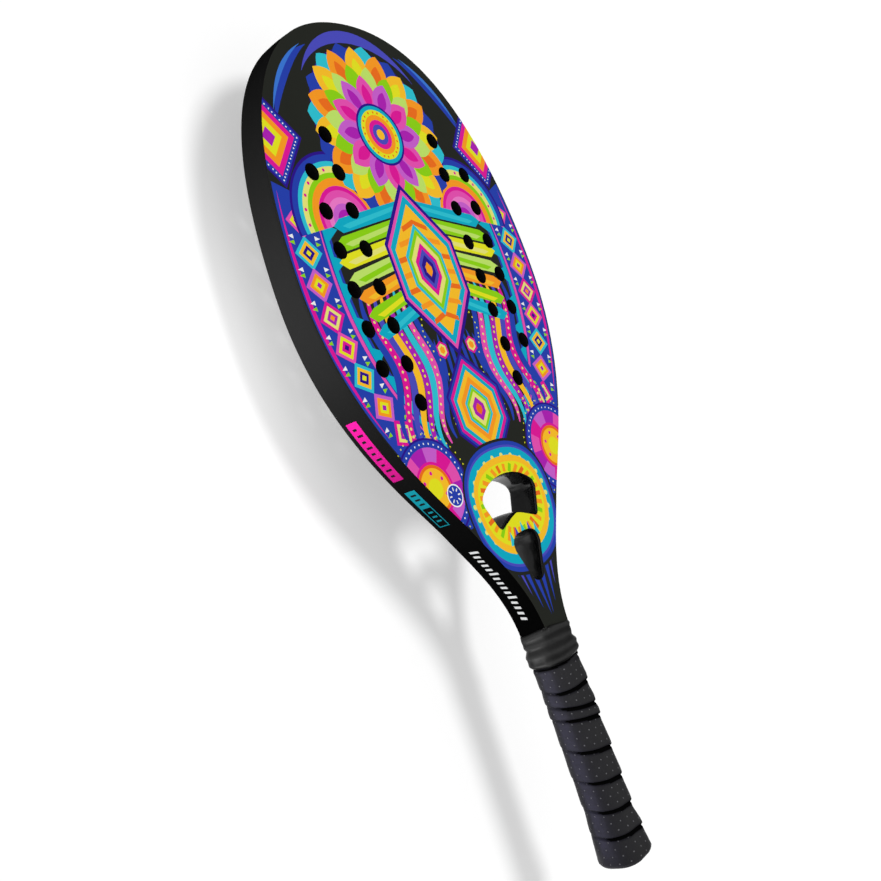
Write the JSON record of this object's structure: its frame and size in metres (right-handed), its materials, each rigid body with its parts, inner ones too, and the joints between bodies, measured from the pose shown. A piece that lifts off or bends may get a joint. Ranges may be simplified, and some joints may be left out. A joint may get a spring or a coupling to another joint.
{
  "type": "beach tennis racket",
  "caption": "Solid-faced beach tennis racket with a perforated oval head, a two-window throat and a round-cornered handle wound in perforated grip tape.",
  "frame": {"origin": "centre of the butt cap's flat end", "axes": "+Y along the handle from the butt to the tip of the head, +Z out of the printed front face, +X across the head"},
  "size_m": [0.214, 0.5, 0.0286],
  "materials": {
    "printed_laminate": "satin",
    "carbon_laminate": "satin",
    "eva_foam": "matte",
    "rigid_foam": "matte",
    "cap_plastic": "matte",
    "cushion_grip": "matte",
    "perforated_grip": "matte",
    "adhesive_tape": "satin",
    "collar_rubber": "satin"
  },
  "bodies": {
    "root": {"front_face": "printed_laminate", "back_face": "carbon_laminate", "frame_tube": "carbon_laminate", "head_core": "eva_foam", "throat_yoke": "carbon_laminate", "yoke_foam": "rigid_foam", "throat_bridge": "carbon_laminate", "bridge_foam": "rigid_foam", "handle_pallet_front": "rigid_foam", "handle_pallet_back": "rigid_foam", "butt_cap": "cap_plastic", "base_grip": "cushion_grip", "overgrip": "perforated_grip", "finishing_tape": "adhesive_tape", "grip_collar": "collar_rubber"}
  },
  "joints": []
}
